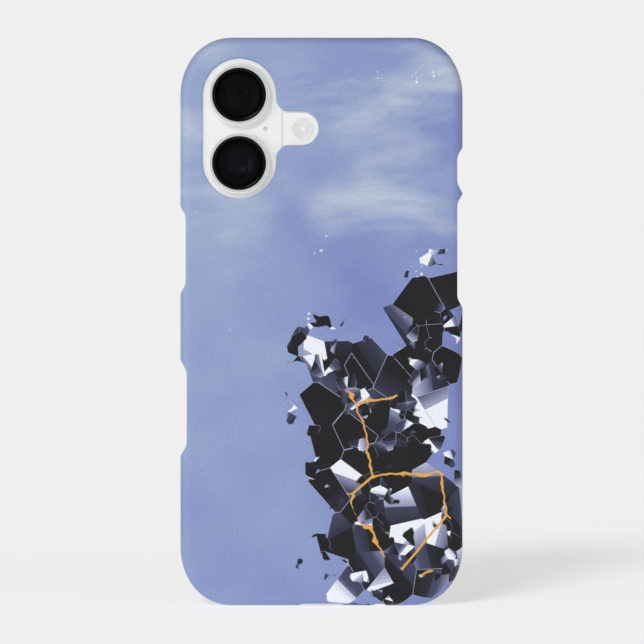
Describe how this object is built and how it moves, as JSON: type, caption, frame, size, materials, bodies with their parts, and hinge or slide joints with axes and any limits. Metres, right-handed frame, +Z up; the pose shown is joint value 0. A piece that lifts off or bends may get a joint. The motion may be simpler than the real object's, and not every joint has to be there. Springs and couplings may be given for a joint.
{
  "type": "smartphone in a printed hard case",
  "caption": "Slab smartphone in a slim clip-on hard case with a pill-shaped camera window, scooped side notches and a plug opening.",
  "frame": {"origin": "middle of the box round the object, on the plane of the case's bottom edge that it stands on", "axes": "+Z up along the length, from the plug opening to the top edge; the printed back with the lenses faces -Y and the screen faces +Y; +X to the right seen from the back"},
  "size_m": [0.075, 0.011, 0.1511],
  "materials": {
    "case_print": "satin, printed all over in sky blues and periwinkle",
    "frame_metal": "fine bead-blasted, anodised",
    "white_glass": "opaque white, polished",
    "ring_metal": "satin white",
    "cover_glass": "polished",
    "lens_black": "matt black",
    "coated_glass": "polished, coated",
    "screen_glass": "polished black",
    "flash_glass": "frosted",
    "flash_trim": "satin",
    "mesh": "fine mesh",
    "port_metal": "satin",
    "tongue_plastic": "matt",
    "battery_wrap": "matt"
  },
  "bodies": {
    "root": {"case_shell": "case_print", "phone_frame": "frame_metal", "back_glass": "white_glass", "screen": "screen_glass", "earpiece_mesh": "mesh", "battery": "battery_wrap", "port_shell": "port_metal", "port_tongue": "tongue_plastic", "sound_mesh_left": "mesh", "sound_mesh_right": "mesh", "flash_ring": "flash_trim", "flash_lens": "flash_glass", "rear_mic": "mesh", "action_button": "frame_metal", "volume_up_button": "frame_metal", "volume_down_button": "frame_metal", "side_button": "frame_metal", "camera_control": "screen_glass", "upper_lens_ring": "ring_metal", "upper_lens_cover": "cover_glass", "upper_lens_barrel": "lens_black", "upper_lens_element": "coated_glass", "lower_lens_ring": "ring_metal", "lower_lens_cover": "cover_glass", "lower_lens_barrel": "lens_black", "lower_lens_element": "coated_glass"}
  },
  "joints": []
}
